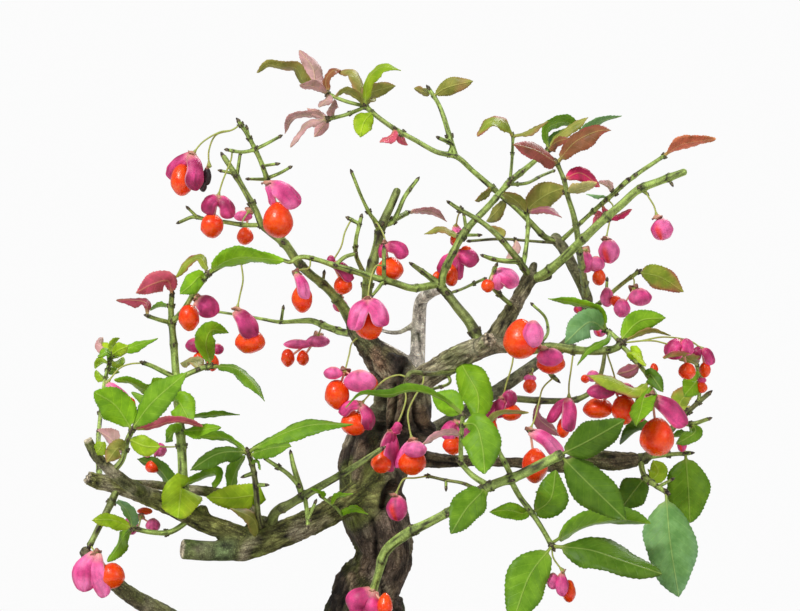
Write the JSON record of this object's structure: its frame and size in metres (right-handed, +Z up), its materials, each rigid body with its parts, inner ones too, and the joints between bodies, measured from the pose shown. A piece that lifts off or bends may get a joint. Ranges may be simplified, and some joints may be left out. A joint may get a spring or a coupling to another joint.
{
  "type": "euonymus sieboldianus bonsai",
  "caption": "Small spindle-tree bonsai in autumn, with pink capsules, orange seeds and green leaves, in a rectangular pot that it stands in.",
  "frame": {"origin": "middle of the pot's underside, level with the soles of its feet", "axes": "+Z up along the tree, +X to the right along the pot's long side, -Y towards the viewer of the front"},
  "size_m": [0.18, 0.128, 0.2215],
  "materials": {
    "pot_clay": "unglazed red-brown stoneware, matt",
    "soil": "fine clay granules with moss, matt",
    "bark": "rough grey-brown bark with moss",
    "leafy_shoot": "green twigs and leaves, semi-gloss, tinted red in autumn",
    "aril": "orange fleshy aril, glossy"
  },
  "bodies": {
    "root": {"pot": "pot_clay", "soil": "soil", "trunk_and_limbs": "bark", "spray_left_upright": "leafy_shoot", "spray_upper_left": "leafy_shoot", "spray_centre": "leafy_shoot", "spray_crown": "leafy_shoot", "spray_centre_right": "leafy_shoot", "spray_crown_back": "leafy_shoot", "spray_back_right": "leafy_shoot", "spray_right_high": "leafy_shoot", "spray_right_tall": "leafy_shoot", "spray_right_middle": "leafy_shoot", "spray_right_low": "leafy_shoot", "spray_front_low": "leafy_shoot", "spray_left_inner": "leafy_shoot", "spray_left_front": "leafy_shoot", "spray_left_low": "leafy_shoot", "aril_01": "aril", "aril_02": "aril", "aril_03": "aril", "aril_04": "aril", "aril_05": "aril", "aril_06": "aril", "aril_07": "aril", "aril_08": "aril", "aril_09": "aril", "aril_10": "aril", "aril_11": "aril", "aril_12": "aril", "aril_13": "aril", "aril_14": "aril", "aril_15": "aril", "aril_16": "aril", "aril_17": "aril", "aril_18": "aril", "aril_19": "aril", "aril_20": "aril", "aril_21": "aril", "aril_22": "aril", "aril_23": "aril", "aril_24": "aril", "aril_25": "aril", "aril_26": "aril", "aril_27": "aril", "aril_28": "aril", "aril_29": "aril", "aril_30": "aril", "aril_31": "aril", "aril_32": "aril", "aril_33": "aril", "aril_34": "aril", "aril_35": "aril", "aril_36": "aril", "aril_37": "aril", "aril_38": "aril", "aril_39": "aril"}
  },
  "joints": []
}
